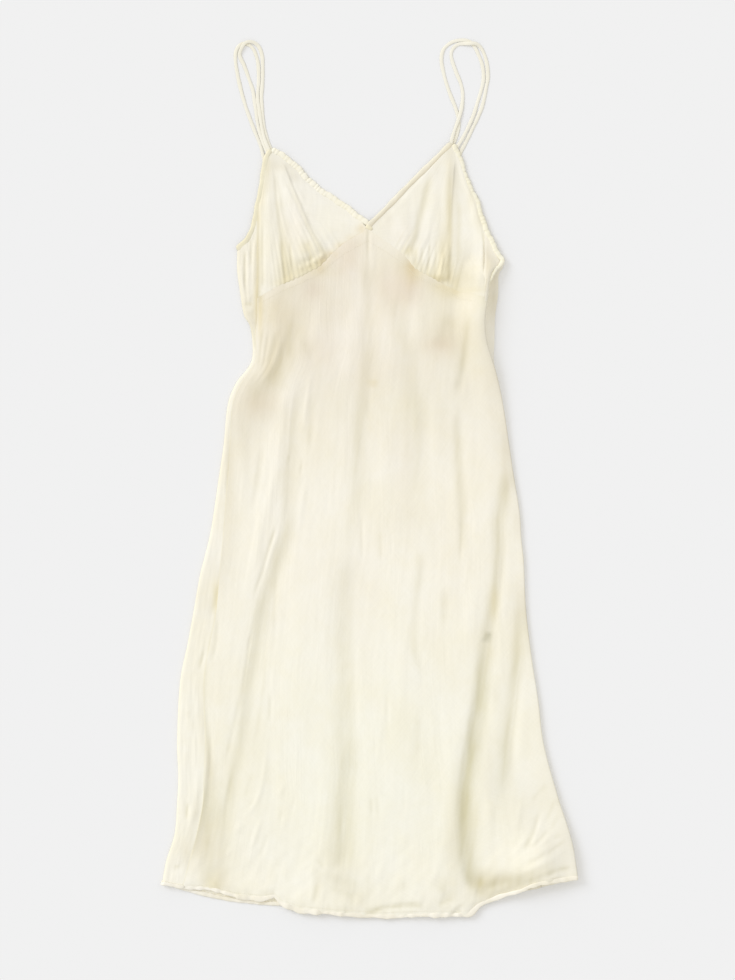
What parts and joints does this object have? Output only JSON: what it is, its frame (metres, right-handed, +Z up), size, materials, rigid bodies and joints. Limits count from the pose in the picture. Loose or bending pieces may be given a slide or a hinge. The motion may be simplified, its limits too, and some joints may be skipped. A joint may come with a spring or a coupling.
{
  "type": "slip dress",
  "caption": "Bias-cut slip dress with gathered cups, bound edges and thin shoulder straps, laid flat face up on a surface.",
  "frame": {"origin": "middle of the laid dress, on the surface that it lies on", "axes": "+Y from the hem towards the shoulder straps, +X to the right as seen from above, +Z up from the surface through the dress's front"},
  "size_m": [0.594, 1.2497, 0.011],
  "materials": {
    "body_cloth": "soft satin silk, cream",
    "cup_cloth": "soft satin silk, one layer, slightly paler",
    "binding": "bias binding of the same silk",
    "strap": "rouleau strap of the same silk"
  },
  "bodies": {
    "root": {"front_panel": "body_cloth", "back_panel": "body_cloth", "cup_left": "cup_cloth", "cup_right": "cup_cloth", "neck_binding_left": "binding", "neck_binding_right": "binding", "armhole_binding_left": "binding", "armhole_binding_right": "binding", "strap_left_outer": "strap", "strap_left_inner": "strap", "strap_right_outer": "strap", "strap_right_inner": "strap"}
  },
  "joints": []
}
